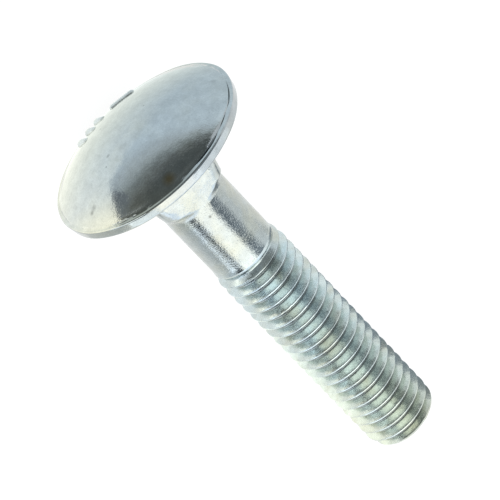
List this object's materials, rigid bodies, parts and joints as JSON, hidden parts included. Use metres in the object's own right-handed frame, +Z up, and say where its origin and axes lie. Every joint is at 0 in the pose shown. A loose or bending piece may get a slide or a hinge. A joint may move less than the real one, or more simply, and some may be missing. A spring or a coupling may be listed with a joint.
{
  "type": "carriage bolt",
  "caption": "Carriage bolt with a shallow domed head, a square neck under it, a plain shank and a rolled thread to the tip, lying on its side.",
  "frame": {"origin": "middle of the ground under the bolt as it lies, on the surface that it rests on", "axes": "+Z up, and +X along the ground from the head to the tip, with the bolt's own axis sloping 9.2 degrees down to the tip in the XZ plane"},
  "size_m": [0.0284, 0.013, 0.0129],
  "materials": {
    "zinc_plated_steel": "bright zinc plating over forged and rolled steel, slightly dull and fine-grained"
  },
  "bodies": {
    "root": {"carriage_bolt": "zinc_plated_steel"}
  },
  "joints": []
}
